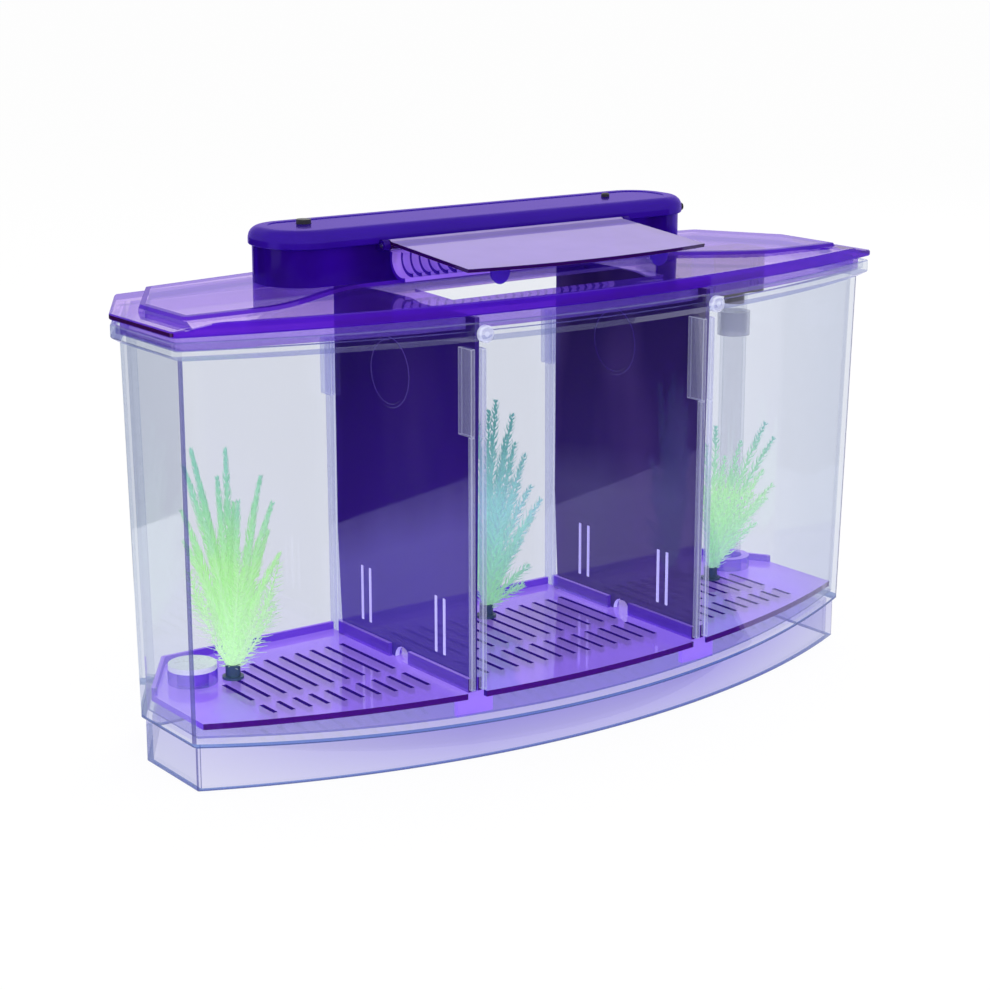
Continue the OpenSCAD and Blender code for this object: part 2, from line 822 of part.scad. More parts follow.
// ---- plants -----------------------------------------------------------------
module plant_cup(at) {
    color([0.2, 0.25, 0.2])
        difference() {
            union() {
                post(at, 3.6, plate_top, plate_top + 0.9);
                post(at, 2.5, plate_top, plate_top + cup_h);
            }
            post(at, 1.7, plate_top + 1.2, plate_top + cup_h + 1);
        }
}
module plant_cup_left() plant_cup(cup_ats[0]);
module plant_cup_middle() plant_cup(cup_ats[1]);
module plant_cup_right() plant_cup(cup_ats[2]);

// Bunch of leaning stems; each entry is lean toward X, lean toward Y and share of the height
module plant(at, shade, stems) {
    color(shade) {
        translate([at.x, at.y, plate_top + 1.2])
            cylinder(h = cup_h + 3, r = 1.69, $fn = 8);
        for (s = stems)
            translate([at.x, at.y, plate_top + cup_h + 1])
                rotate([-s[1], s[0], 0])
                    cylinder(h = plant_h * s[2], r1 = 1.2, r2 = 3, $fn = 8);
    }
}
module plant_left()
    plant(cup_ats[0], "yellowgreen", [[-9, 4, 1], [0, -5, 0.97], [8, 5, 0.8], [17, -4, 0.72], [-14, -6, 0.7]]);
module plant_middle()
    plant(cup_ats[1], "mediumaquamarine", [[3, -6, 1], [-5, -2, 0.95], [10, -3, 0.85], [20, -5, 0.62], [-14, -6, 0.7]]);
module plant_right()
    plant(cup_ats[2], "mediumseagreen", [[16, -3, 0.84], [25, -6, 0.66], [4, -6, 0.7], [-7, 3, 0.75], [-18, -4, 0.6]]);

tank();
floor_plate();
socket_plug();
partition_left();
partition_right();
lid();
feeding_flap();
flap_hinge_pin();
outlet_chute();
housing_body();
housing_cap();
cap_screws();
power_button();
button_spring();
indicator_lens();
power_inlet();
control_board();
button_switch();
led_board();
led_chips();
led_cover();
filter_sponge();
pump_bracket();
pump_body();
pump_cover();
impeller();
impeller_shaft();
pump_outlet();
tube_collar();
uplift_tube();
plant_cup_left();
plant_cup_middle();
plant_cup_right();
plant_left();
plant_middle();
plant_right();
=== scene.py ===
import math
import random
import bmesh
import bpy
from mathutils import Matrix, Vector


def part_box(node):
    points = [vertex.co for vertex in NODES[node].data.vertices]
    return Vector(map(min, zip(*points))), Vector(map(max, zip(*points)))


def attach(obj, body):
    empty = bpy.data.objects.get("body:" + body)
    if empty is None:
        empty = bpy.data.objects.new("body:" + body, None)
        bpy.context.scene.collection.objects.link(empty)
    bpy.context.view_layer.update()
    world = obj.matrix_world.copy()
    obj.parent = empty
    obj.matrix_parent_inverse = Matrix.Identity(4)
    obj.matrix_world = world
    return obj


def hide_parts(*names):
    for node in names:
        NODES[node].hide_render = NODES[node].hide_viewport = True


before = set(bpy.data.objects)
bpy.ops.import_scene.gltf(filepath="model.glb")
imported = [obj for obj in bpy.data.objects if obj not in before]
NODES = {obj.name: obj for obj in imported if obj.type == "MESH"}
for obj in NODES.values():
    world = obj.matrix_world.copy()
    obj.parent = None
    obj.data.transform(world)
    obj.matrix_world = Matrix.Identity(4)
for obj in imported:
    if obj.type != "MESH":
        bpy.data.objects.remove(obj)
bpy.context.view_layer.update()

MM = 0.001
WHITE = (1, 1, 1, 1)
scene = bpy.context.scene

# ---------------------------------------------------------------- camera
TURN, TILT = math.radians(36), math.radians(14.3)  # how far it looks to the right of +Y, and down
CAMERA_AT = (-463.16, -627.12, 270.92)
FOCAL_PX, PICTURE_PX = 2302, 990
SENSOR = 36


def aim(o, way):
    """Turns a camera or a lamp to look along a direction."""
    o.rotation_euler = way.to_track_quat("-Z", "Y").to_euler()


def make_camera():
    data = bpy.data.cameras.new("camera")
    data.sensor_width = SENSOR
    data.lens = FOCAL_PX / PICTURE_PX * SENSOR
    data.clip_start = 0.01
    data.clip_end = 20
    camera = bpy.data.objects.new("camera", data)
    scene.collection.objects.link(camera)
    camera.location = Vector(CAMERA_AT) * MM
    aim(camera, Vector((math.sin(TURN) * math.cos(TILT), math.cos(TURN) * math.cos(TILT), -math.sin(TILT))))
    return camera


scene.camera = make_camera()
scene.view_settings.view_transform = "Standard"
scene.cycles.transparent_max_bounces = 48
scene.cycles.max_bounces = 12
scene.cycles.glossy_bounces = 4


# ---------------------------------------------------------------- materials
def srgb(r, g, b):
    """A colour as a picture shows it, 0 to 255, in linear light."""
    def lin(c):
        c /= 255
        return c / 12.92 if c <= 0.04045 else ((c + 0.055) / 1.055) ** 2.4
    return (lin(r), lin(g), lin(b), 1)


class Mat:
    """The node tree of a material, or of the world, under construction."""

    def __init__(self, name, world=False):
        self.owner = (bpy.data.worlds if world else bpy.data.materials).new(name)
        self.owner.use_nodes = True
        self.tree = self.owner.node_tree
        self.tree.nodes.clear()
        self.output = self.node("OutputWorld" if world else "OutputMaterial")

    def feed(self, socket, value):
        """Sets an input to a value, or links it to another node's output."""
        if isinstance(value, bpy.types.NodeSocket):
            self.tree.links.new(value, socket)
        else:
            socket.default_value = value

    def node(self, kind, **values):
        """A new node; each value goes to its input of that name, or else to its setting."""
        n = self.tree.nodes.new("ShaderNode" + kind)
        for key, value in values.items():
            if key in n.inputs:
                self.feed(n.inputs[key], value)
            else:
                setattr(n, key, value)
        return n

    def chain(self, kind, *values, **settings):
        """The first output of a new node whose inputs are given in their order."""
        n = self.node(kind, **settings)
        for socket, value in zip(n.inputs, values):
            self.feed(socket, value)
        return n.outputs[0]

    def shader(self, kind, **values):
        return self.node(kind, **values).outputs[0]

    def place(self):
        return self.node("TexCoord").outputs["Object"]

    def axis(self, name):
        return self.node("SeparateXYZ", Vector=self.place()).outputs[name]

    def noise(self, scale, detail=3, stretch=None):
        """Clouds that are drawn out along an axis where its stretch is under 1."""
        at = self.place()
        if stretch:
            at = self.node("Mapping", Vector=at, Scale=stretch).outputs["Vector"]
        return self.node("TexNoise", Vector=at, Scale=scale, Detail=detail).outputs["Fac"]

    def math(self, operation, *values):
        return self.chain("Math", *values, operation=operation)

    def ramp(self, fac, stops):
        r = self.node("ValToRGB", Fac=fac)
        for i, (at, color) in enumerate(stops):
            e = r.color_ramp.elements[i] if i < 2 else r.color_ramp.elements.new(at)
            e.position = at
            e.color = color
        return r.outputs["Color"]

    def span(self, fac, a, b, low, high):
        """fac taken from the range a to b into the range low to high."""
        ends = {"From Min": a, "From Max": b, "To Min": low, "To Max": high}
        return self.node("MapRange", Value=fac, **ends).outputs["Result"]

    def spread(self, clouds, low, high):
        """low to high over the values that most of a noise has."""
        return self.span(clouds, 0.3, 0.7, low, high)

    def blend(self, fac, a, b):
        """A colour between two."""
        n = self.node("Mix", data_type="RGBA")
        for i, value in ((0, fac), (6, a), (7, b)):
            self.feed(n.inputs[i], value)
        return n.outputs[2]

    def bump(self, height, strength, distance):
        return self.node("Bump", Strength=strength, Distance=distance, Height=height).outputs["Normal"]

    def mix(self, fac, a, b):
        """A shader between two."""
        return self.chain("MixShader", fac, a, b)

    def facing(self):
        """0 where the surface faces the eye, 1 where it is seen on edge."""
        return self.node("LayerWeight", Blend=0.5).outputs["Facing"]

    def polished(self, base, color, rough, normal, f0, polish=1.0):
        """base under a mirror layer of strength f0, which grows where the surface is seen on edge."""
        shine = self.shader("BsdfGlossy", Color=color, Roughness=rough, Normal=normal)
        strength = self.math("MULTIPLY_ADD", self.math("POWER", self.facing(), 5.0), (1 - f0) * polish, f0)
        return self.mix(strength, base, shine)

    def in_sight(self):
        """1 for the rays that carry a picture: straight, by reflection or through glass."""
        rays = self.node("LightPath").outputs
        straight_or_mirrored = self.math("MAXIMUM", rays["Is Camera Ray"], rays["Is Glossy Ray"])
        return self.math("MAXIMUM", straight_or_mirrored, rays["Is Transmission Ray"])

    def done(self, shader):
        self.feed(self.output.inputs["Surface"], shader)
        return self.owner


def clear_plastic(name, through, edge, haze=0.0, body=None, gloss=0.03, f0=0.04, mirror=WHITE, ripple=0.08,
                  power=3.0, glow=0.5, painted_cast=None, painted_glow=0.0, mottle=0.12, streak=1.0, polish=1.0):
    """See-through moulding. It tints what is behind it by the colour through, or edge where the wall is seen
    on edge, and by body where fade says so, which is a painted colour cast of light. The share haze of it
    is milky, in the colour body with clouds that are darker by mottle and drawn out upward by streak. The
    share glow of the haze is lit from behind, and lift is painted glow: light that it gives off though it
    is no lamp."""
    m = Mat(name)
    tint = m.blend(m.math("POWER", m.facing(), power), through, edge)
    # painted light: a colour cast laid over the tint where fade says so
    if painted_cast:
        tint = m.blend(painted_cast(m), tint, body)
    base = m.shader("BsdfTransparent", Color=tint)
    if haze:
        dark = tuple(c * (1 - mottle) for c in body[:3]) + (1,)
        shade = m.blend(m.spread(m.noise(40, 3, (1, 1, 1 / streak)), 0, 1), dark, body)
        milk = m.mix(glow, m.shader("BsdfDiffuse", Color=shade), m.shader("BsdfTranslucent", Color=shade))
        base = m.mix(haze, base, milk)
        # painted glow: light given off in the colour of the milk, though the piece is no lamp
        if painted_glow:
            base = m.chain("AddShader", base, m.shader("Emission", Color=shade, Strength=painted_glow))
    rough = m.spread(m.noise(90, 4), gloss * 0.5, gloss * 1.6)
    return m.done(m.polished(base, mirror, rough, m.bump(m.noise(26, 2), ripple, 0.0006), f0, polish))


def plastic(name, color, rough=0.3, bump=0.1, grain=400, metal=0.0, glow=0.0):
    """Solid moulded plastic or metal with a fine moulded grain and slight colour variation. glow is painted
    light: light that it gives off though it is no lamp.
    """
    spot = 0.06
    m = Mat(name)
    fine = m.noise(grain, 4)
    low = tuple(c * (1 - spot) for c in color[:3]) + (1,)
    high = tuple(min(1, c * (1 + spot) + 0.002) for c in color[:3]) + (1,)
    values = {"Base Color": m.ramp(m.noise(35), [(0.3, low), (0.7, high)]), "Metallic": metal,
              "Roughness": m.spread(fine, rough * 0.8, rough * 1.2), "Normal": m.bump(fine, bump, 0.0002)}
    if glow:
        values.update({"Emission Color": color, "Emission Strength": glow})
    return m.done(m.shader("BsdfPrincipled", **values))


DIVIDER_LOW, DIVIDER_HIGH = 20, 170  # the heights that a partition's shades run between


def divider_plastic_with_painted_shade(name, slope, level, foot, waist, top, painted_sheen_strength):
    """Dark indigo moulding with painted light and shade: paler below a soft line and darker above it,
    standing in for the bright and the dark that show through it and are mirrored in it. The line is at
    level over DIVIDER_LOW and comes down toward the back by slope. cloud is the strength of a painted
    sheen that lies over it in clouds."""
    m = Mat(name)
    height = m.math("MULTIPLY_ADD", m.axis("Y"), slope, m.axis("Z"))
    height = m.math("MULTIPLY_ADD", m.noise(30, 3, (1, 1, 0.4)), 0.012, height)
    below, above = ((level + d) / (DIVIDER_HIGH - DIVIDER_LOW) for d in (-14, 2))
    # painted light and shade, from the pale foot up to the dark top
    shade = m.ramp(m.span(height, DIVIDER_LOW * MM, DIVIDER_HIGH * MM, 0, 1),
                   [(0.0, foot), (below, foot), (above, waist), (1.0, top)])
    # painted sheen: paler clouds in the colour below
    sheen = m.span(m.noise(16, 2, (1, 1.6, 0.7)), 0.42, 0.68, 0, painted_sheen_strength)
    solid = m.shader("BsdfDiffuse", Color=m.blend(sheen, shade, srgb(112, 84, 158)))
    base = m.mix(0.8, m.shader("BsdfTransparent", Color=(0.10, 0.05, 0.34, 1)), solid)
    rough = m.spread(m.noise(60, 4, (1, 1, 0.3)), 0.02, 0.06)
    return m.done(m.polished(base, (0.72, 0.66, 1.0, 1), rough, m.bump(m.noise(22, 2), 0.06, 0.0006), 0.06))


def plinth_painted_cast(m):
    """Painted light: the lavender cast of the slotted plate, strongest in the middle of the front."""
    across = m.span(m.math("ABSOLUTE", m.axis("X")), 0.05, 0.15, 1, 0.25)
    return m.math("MULTIPLY", across, m.span(m.axis("Z"), 0.0, 0.014, 0.55, 1.0))


MATS = {
    "clear": clear_plastic("clear_styrene", (0.935, 0.945, 0.972, 1), (0.42, 0.5, 0.68, 1), ripple=0.06),
    "clear_edge": clear_plastic("clear_styrene_edge", (0.70, 0.73, 0.87, 1), (0.30, 0.36, 0.60, 1), 0.14,
                                srgb(204, 202, 246), mirror=(0.86, 0.85, 1.0, 1), power=1.5),
    "clear_line": clear_plastic("clear_styrene_line", srgb(150, 175, 225), srgb(60, 80, 150), 0.3,
                                srgb(120, 150, 220), power=1.2),
    "clear_ridge": clear_plastic("clear_styrene_ridge", srgb(150, 152, 200), srgb(74, 72, 130), 0.3,
                                 srgb(132, 130, 190), power=1.2),
    # the plinth carries a painted lavender cast of light under the plate
    "plinth": clear_plastic("clear_styrene_plinth_painted_cast", (0.90, 0.91, 0.955, 1), (0.45, 0.5, 0.72, 1),
                            body=srgb(204, 198, 243), painted_cast=plinth_painted_cast),
    # the lift of the rail is painted glow
    "rail": clear_plastic("clear_styrene_rail", (0.93, 0.94, 0.985, 1), (0.56, 0.58, 0.88, 1), 0.2,
                          srgb(236, 234, 255), power=2, glow=0.7, painted_glow=0.05),
    # white with painted glow: the painted highlights on the rails' edges and the bosses' rims
    "boss_highlight": clear_plastic("clear_styrene_boss_highlight", (0.95, 0.965, 0.99, 1), (0.62, 0.68, 0.86, 1), 0.4,
                          srgb(240, 242, 255), glow=0.7, painted_glow=0.16),
    "cover": clear_plastic("clear_cover", (0.93, 0.94, 0.96, 1), (0.6, 0.65, 0.75, 1)),
    "tube": clear_plastic("tube_clear", (0.955, 0.96, 0.975, 1), (0.66, 0.70, 0.78, 1)),
    "lid": clear_plastic("lid_purple", (0.90, 0.80, 1.0, 1), (0.74, 0.56, 0.98, 1), 0.08,
                         srgb(150, 90, 245), mirror=(0.82, 0.72, 1.0, 1), polish=0.8),
    "lid_edge": clear_plastic("lid_purple_edge", srgb(124, 60, 228), srgb(76, 20, 180), 0.5,
                              srgb(100, 38, 204), mirror=(0.5, 0.4, 0.8, 1)),
    "lid_skirt": clear_plastic("lid_purple_skirt", (0.82, 0.72, 0.98, 1), (0.5, 0.34, 0.86, 1), 0.32,
                               srgb(156, 122, 240), mirror=(0.6, 0.5, 0.9, 1)),
    "lid_end": clear_plastic("lid_purple_end", srgb(60, 10, 90), srgb(40, 0, 60), 0.7, srgb(58, 4, 72)),
    "flap": clear_plastic("flap_lilac", (0.68, 0.58, 0.92, 1), (0.42, 0.30, 0.74, 1), 0.6,
                          srgb(200, 184, 248), mirror=(0.66, 0.58, 0.78, 1), glow=0.25),
    "flap_edge": clear_plastic("flap_lilac_edge", srgb(80, 20, 130), srgb(50, 0, 80), 0.7, srgb(52, 6, 84)),
    "flap_tab": clear_plastic("flap_lilac_tab", srgb(140, 90, 235), srgb(80, 30, 190), 0.4,
                              srgb(120, 70, 225)),
    # the lift of the chute is painted glow
    "chute": clear_plastic("chute_purple", (0.74, 0.58, 1.0, 1), (0.3, 0.12, 0.78, 1), 0.45,
                           srgb(188, 144, 255), mirror=(0.8, 0.7, 1.0, 1), painted_glow=0.22),
    "chute_rib": clear_plastic("chute_purple_rib", srgb(120, 60, 225), srgb(66, 20, 150), 0.5,
                               srgb(72, 20, 160)),
    "housing": clear_plastic("housing_indigo", srgb(128, 60, 235), srgb(66, 10, 170), 0.62,
                             srgb(76, 16, 200), f0=0.03, gloss=0.08, mirror=(0.36, 0.26, 0.7, 1),
                             mottle=0.75, streak=6),
    "cap": clear_plastic("cap_indigo", srgb(110, 50, 225), srgb(60, 10, 170), 0.8,
                         srgb(68, 22, 188), gloss=0.12, mirror=(0.34, 0.24, 0.74, 1)),
    # foot, waist and top are painted shades, and the last number the strength of the painted sheen
    "divider_left": divider_plastic_with_painted_shade("divider_indigo_painted_shade_left", 0.4, 60, srgb(98, 78, 180), srgb(56, 20, 136),
                                    srgb(24, 0, 82), 0.12),
    "divider_right": divider_plastic_with_painted_shade("divider_indigo_painted_shade_right", 0.15, 66, srgb(106, 90, 152),
                                     srgb(66, 40, 122), srgb(50, 26, 96), 0.6),
    "divider_edge": clear_plastic("divider_edge", srgb(120, 70, 220), srgb(80, 30, 190), 0.5,
                                  srgb(110, 70, 210)),
    # pale, with a painted glow: light given off in the slots though they are no lamp
    "divider_slot": plastic("divider_slot_painted_glow", srgb(214, 206, 246), 0.5, glow=0.2),
    # the lift of the plate's finishes below is painted glow
    "plate": clear_plastic("plate_lilac", (0.74, 0.58, 1.0, 1), (0.52, 0.34, 0.95, 1), 0.5,
                           srgb(198, 160, 255), f0=0.08, mirror=(0.92, 0.84, 1.0, 1), ripple=0.04,
                           glow=0.4, painted_glow=0.28),
    "plate_edge": clear_plastic("plate_lilac_edge", srgb(180, 140, 245), srgb(96, 50, 190), 0.45,
                                srgb(140, 92, 226), mirror=(0.7, 0.6, 1.0, 1), painted_glow=0.14),
    "plate_rim": clear_plastic("plate_lilac_rim", srgb(120, 40, 150), srgb(70, 10, 100), 0.6,
                               srgb(96, 22, 140), mirror=(0.4, 0.3, 0.6, 1)),
    "plate_slot": clear_plastic("plate_lilac_slot", srgb(120, 70, 200), srgb(60, 20, 120), 0.7,
                                srgb(62, 30, 132), mirror=(0.4, 0.3, 0.6, 1)),
    "plate_socket": clear_plastic("plate_lilac_socket", (0.80, 0.66, 1.0, 1), (0.26, 0.12, 0.72, 1), 0.3,
                                  srgb(150, 104, 236), mirror=(0.7, 0.6, 1.0, 1), power=1.6, painted_glow=0.06),
    "white": plastic("plug_white", (0.9, 0.9, 0.92), 0.3),
    "black": plastic("black_plastic", (0.012, 0.012, 0.014), 0.4),
    "pump": plastic("pump_charcoal", srgb(52, 43, 70), 0.45),
    "rubber": plastic("black_rubber", (0.01, 0.01, 0.01), 0.7),
    "steel": plastic("steel", (0.55, 0.56, 0.58), 0.3, metal=1.0),
    "board": plastic("board_green", (0.02, 0.1, 0.04), 0.4),
    "board_white": plastic("board_white", (0.85, 0.86, 0.84), 0.4),
    "led": plastic("led_phosphor", (0.9, 0.75, 0.2), 0.25),
    "sponge": plastic("sponge_black", (0.03, 0.03, 0.04), 0.95, bump=1.0, grain=900),
    "grey": clear_plastic("collar_clear", (0.86, 0.88, 0.92, 1), (0.6, 0.62, 0.7, 1), 0.35,
                          srgb(226, 228, 238)),
    "impeller": plastic("impeller_white", (0.8, 0.8, 0.78), 0.4),
    "cup": plastic("cup_dark", srgb(58, 84, 110), 0.4),
}
WEAR = {
    "socket_plug": "white", "flap_hinge_pin": "steel", "cap_screws": "steel",
    "power_button": "black", "button_spring": "steel", "indicator_lens": "black", "power_inlet": "rubber",
    "control_board": "board", "button_switch": "black", "led_board": "board_white", "led_chips": "led",
    "led_cover": "cover", "filter_sponge": "sponge", "pump_body": "pump",
    "pump_cover": "pump", "impeller": "impeller", "impeller_shaft": "steel", "pump_outlet": "cover",
    "tube_collar": "grey", "uplift_tube": "tube", "plant_cup_left": "cup", "plant_cup_middle": "cup",
    "plant_cup_right": "cup",
}


def finishes(*keys):
    return [MATS[key] for key in keys]


def smooth(o, angle=35):
    """Smooth shading, with creases where faces meet at more than the angle."""
    for p in o.data.polygons:
        p.use_smooth = True
    o.data.set_sharp_from_angle(angle=math.radians(angle))


for name, key in WEAR.items():
    NODES[name].data.materials.clear()
    NODES[name].data.materials.append(MATS[key])
    smooth(NODES[name])


# ---------------------------------------------------------------- mesh helpers
def apply(o):
    """Bakes the modifiers of a piece into its mesh."""
    deps = bpy.context.evaluated_depsgraph_get()
    baked = o.evaluated_get(deps)
    me = bpy.data.meshes.new_from_object(baked, preserve_all_data_layers=True, depsgraph=deps)
    o.modifiers.clear()
    old, o.data = o.data, me
    bpy.data.meshes.remove(old)
    o.data.name = o.name


def ease(o, width):
    """Rounds the edges of a piece."""
    mod = o.modifiers.new("ease", "BEVEL")
    mod.width = width * MM
    mod.segments = 2
    mod.limit_method = "ANGLE"
    mod.angle_limit = math.radians(40)
    mod.miter_outer = "MITER_ARC"
    apply(o)


def cutter(solids):
    """Boxes, each given by two corners, and upright cylinders, each by its centre, radius and height."""
    bm = bmesh.new()
    for solid in solids:
        if len(solid) == 2:
            low, high = (Vector(corner) for corner in solid)
            size = Matrix.Diagonal(((high - low) * MM).to_4d())
            bmesh.ops.create_cube(bm, size=1, matrix=Matrix.Translation((low + high) / 2 * MM) @ size)
        else:
            at, r, h = solid
            bmesh.ops.create_cone(bm, cap_ends=True, segments=40, radius1=r * MM, radius2=r * MM,
                                  depth=h * MM, matrix=Matrix.Translation(Vector(at) * MM))
    me = bpy.data.meshes.new("cutter")
    bm.to_mesh(me)
    bm.free()
    o = bpy.data.objects.new("cutter", me)
    scene.collection.objects.link(o)
    return o


def cut(o, solids):
    """Takes solids away from a piece."""
    tool = cutter(solids)
    mod = o.modifiers.new("cut", "BOOLEAN")
    mod.operation = "DIFFERENCE"
    mod.solver = "EXACT"
    mod.object = tool
    apply(o)
    bpy.data.objects.remove(tool)


def add(name, bm, mats, body, angle=35, replaces=(), pick=None, cuts=(), bevel=0):
    """A finished piece from a bmesh: openings are cut, edges are eased, and pick gives each face its finish
    from the face's normal and its centre in mm."""
    me = bpy.data.meshes.new(name)
    bmesh.ops.recalc_face_normals(bm, faces=bm.faces)
    bm.to_mesh(me)
    bm.free()
    o = bpy.data.objects.new(name, me)
    scene.collection.objects.link(o)
    for mat in mats:
        me.materials.append(mat)
    if cuts:
        cut(o, cuts)
    if bevel:
        ease(o, bevel)
    if pick:
        for p in o.data.polygons:
            p.material_index = pick(p.normal, p.center / MM)
    smooth(o, angle)
    even = o.modifiers.new("even", "WEIGHTED_NORMAL")
    even.keep_sharp = True
    even.weight = 90
    apply(o)
    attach(o, body)
    if replaces:
        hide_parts(*replaces)


def dressed(node, mats, body, bevel=0.3, pick=None):
    """The solid of a node with its faces joined, its edges eased and a finish for each face."""
    bm = bmesh.new()
    bm.from_mesh(NODES[node].data)
    bmesh.ops.remove_doubles(bm, verts=bm.verts, dist=2e-6)
    bmesh.ops.dissolve_limit(bm, angle_limit=math.radians(0.6), verts=bm.verts, edges=bm.edges)
    add(node + "_moulding", bm, mats, body, 35, (node,), pick, bevel=bevel)


def skin(bm, rings, finish=lambda k, i: 0):
    """Joins closed rings of equal length and fills both ends; finish is asked for the finish of face i
    between the rings k and k + 1."""
    vs = [[bm.verts.new(Vector(p) * MM) for p in ring] for ring in rings]
    for k, (a, b) in enumerate(zip(vs, vs[1:])):
        for i in range(len(a)):
            j = (i + 1) % len(a)
            bm.faces.new((a[i], a[j], b[j], b[i])).material_index = finish(k, i)
    for ring in (vs[0][::-1], vs[-1]):
        bm.faces.new(ring)


BOW_STEPS = 72  # along a bowed front
CROWN_X = 70    # how far from the middle the straight part of a crowned back ends


def plan(half, y, depth, side_y, cut_x, back_y, crown=None):
    """An outline as in the CAD: a front bowed by depth, straight sides from y to side_y, rear corners cut
    off over cut_x, and a back at back_y that may be crowned."""
    r = (half * half + depth * depth) / (2 * depth)
    a = math.asin(half / r)
    turns = [-a + 2 * a * i / BOW_STEPS for i in range(BOW_STEPS + 1)]
    pts = [(r * math.sin(t), y - depth + r - r * math.cos(t)) for t in turns]
    pts += [(half, side_y), (half - cut_x, back_y)]
    if crown is not None:
        pts += [(CROWN_X, back_y + crown), (-CROWN_X, back_y + crown)]
    pts += [(cut_x - half, back_y), (-half, side_y)]
    return [Vector(p) for p in pts]


def grow(pts, e):
    """An outline moved outward by e."""
    out = []
    for i, p in enumerate(pts):
        d0, d1 = (p - pts[i - 1]).normalized(), (pts[(i + 1) % len(pts)] - p).normalized()
        n0, n1 = Vector((d0.y, -d0.x)), Vector((d1.y, -d1.x))
        out.append(p + e * (n0 + n1) / (1 + n0.dot(n1)))
    return out


def turned(v, a):
    return Vector((v.x * math.cos(a) - v.y * math.sin(a), v.x * math.sin(a) + v.y * math.cos(a)))


def fillet(pts, r, k=5):
    """Rounds the real corners in k steps; returns the points, and the places of each rounding's middle."""
    out, ridges = [], set()
    for i, p in enumerate(pts):
        before, after = p - pts[i - 1], pts[(i + 1) % len(pts)] - p
        d0, d1 = before.normalized(), after.normalized()
        turn = math.atan2(d0.x * d1.y - d0.y * d1.x, d0.dot(d1))
        if abs(turn) < math.radians(12):
            out.append(p)
            continue
        s = math.tan(abs(turn) / 2)
        c = min(r * s, 0.45 * before.length, 0.45 * after.length)
        side = 1 if turn > 0 else -1
        centre = p - d0 * c + Vector((-d0.y, d0.x)) * side * c / s
        arm = p - d0 * c - centre
        ridges.update(len(out) + j for j in range(1, k - 1))
        out += [centre + turned(arm, turn * j / k) for j in range(k + 1)]
    return out, ridges


def circle(steps):
    return [2 * math.pi * i / steps for i in range(steps)]


# ---------------------------------------------------------------- tank
WALL, FLOOR_T = 2.0, 2.0
LOW_Z, HIGH_Z = 9.0, 141.0  # heights of the wall's lowest and highest outline
BEND_Y = -20.5              # the floor is level behind this line and falls in front of it
PLINTH_H, FALL = 15.0, 0.11
CORNER_R = 2.4
PARTITION_X = 48.0
TANK_LOW = plan(half=139.4, y=BEND_Y, depth=31.8, side_y=14.5, cut_x=18.8, back_y=44.6)
TANK_HIGH = plan(half=141.3, y=-23, depth=29, side_y=15.5, cut_x=18.8, back_y=45.6)
RIM = plan(half=144.5, y=-25.5, depth=28, side_y=15.5, cut_x=18.5, back_y=47.4)
RIM_TOP = 145.5
LEVELS = (30, 60, 90, 115)  # heights at which the leaning walls have a ring
CLEAR, EDGE, FOOT, LINE, RIDGE = range(5)  # finishes of the tank, in the order of its materials


def above_foot(h):
    """The height h over the foot of the walls, which falls with the floor, as a function of the depth."""
    return lambda y: PLINTH_H + FALL * min(0, y - BEND_Y) + h


def height_at(z, y):
    return z(y) if callable(z) else z


def wall_ring(e, z):
    """A ring of the leaning wall, moved outward by e."""
    r = max(0.6, CORNER_R + e)
    low, high = fillet(grow(TANK_LOW, e), r)[0], fillet(grow(TANK_HIGH, e), r)[0]
    ring = []
    for a, b in zip(low, high):
        at = height_at(z, a.y)
        p = a.lerp(b, (at - LOW_Z) / (HIGH_Z - LOW_Z))
        ring.append((p.x, p.y, at))
    return ring


def flat_ring(outline, e, z):
    """A ring straight above an outline, moved outward by e."""
    return [(p.x, p.y, height_at(z, p.y)) for p in fillet(grow(outline, e), max(0.5, CORNER_R + e))[0]]


def tank_rings():
    """The rings of the tank's skin, each with the finish of the faces between it and the next. They go from
    the floor's underside round the plinth and up the outside, over the rim, and down inside to the floor."""
    outside = [
        (flat_ring(TANK_LOW, -3.3, above_foot(0)), FOOT), (flat_ring(TANK_LOW, -3.3, 0.3), LINE),
        (flat_ring(TANK_LOW, -3.0, 0.0), LINE), (flat_ring(TANK_LOW, -1.6, 0.0), LINE),
        (flat_ring(TANK_LOW, -1.3, 0.35), FOOT), (flat_ring(TANK_LOW, -1.3, above_foot(-0.5)), LINE),
        (flat_ring(TANK_LOW, -1.1, above_foot(0)), LINE), (wall_ring(-0.45, above_foot(0)), LINE),
        (wall_ring(0, above_foot(0.5)), LINE), (wall_ring(0, above_foot(1.5)), CLEAR)]
    outside += [(wall_ring(0, z), CLEAR) for z in LEVELS]
    inside = [
        (wall_ring(0, 139.3), EDGE), (flat_ring(RIM, -0.35, HIGH_Z), EDGE),
        (flat_ring(RIM, 0, HIGH_Z + 0.5), CLEAR), (flat_ring(RIM, 0, RIM_TOP - 0.4), EDGE),
        (flat_ring(RIM, -0.4, RIM_TOP), CLEAR), (flat_ring(RIM, -1.35, RIM_TOP), EDGE),
        (flat_ring(RIM, -1.7, RIM_TOP - 0.35), CLEAR), (flat_ring(RIM, -1.7, HIGH_Z + 1.5), CLEAR),
        (wall_ring(-1.6, HIGH_Z + 1.5), EDGE), (wall_ring(-WALL, HIGH_Z + 1.0), CLEAR)]
    inside += [(wall_ring(-WALL, z), CLEAR) for z in reversed(LEVELS)]
    inside += [
        (wall_ring(-WALL, above_foot(FLOOR_T + 1.4)), EDGE),
        (wall_ring(-2.5, above_foot(FLOOR_T + 0.4)), CLEAR), (wall_ring(-3.6, above_foot(FLOOR_T)), CLEAR)]
    return outside, inside


